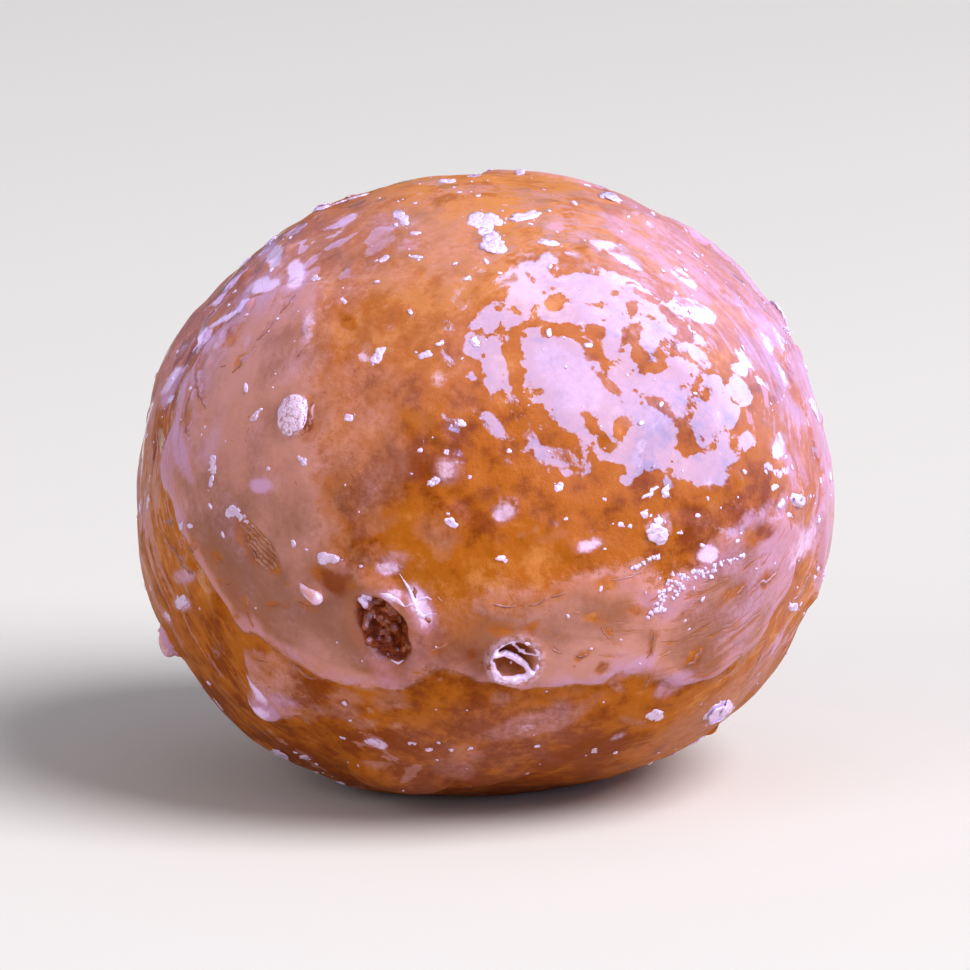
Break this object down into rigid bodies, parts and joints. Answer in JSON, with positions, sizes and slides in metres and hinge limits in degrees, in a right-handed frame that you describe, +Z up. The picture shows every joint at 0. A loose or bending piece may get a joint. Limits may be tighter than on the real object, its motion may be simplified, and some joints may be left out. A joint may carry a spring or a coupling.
{
  "type": "doughnut hole",
  "caption": "Glazed doughnut hole: a slightly flattened ball of fried dough under an uneven sugar glaze, with blisters, pits and drips, resting on a small flat spot.",
  "frame": {"origin": "bottom centre of the ball's bounding box, in the plane of the flat spot that it rests on", "axes": "+Z up, along the ball's shortest extent; +X to the viewer's right, along its longest extent; -Y towards the viewer"},
  "size_m": [0.0368, 0.0362, 0.0322],
  "materials": {
    "glazed_crust": "golden-brown fried crust under a glossy, partly milky sugar glaze"
  },
  "bodies": {
    "root": {"doughnut_hole": "glazed_crust"}
  },
  "joints": []
}
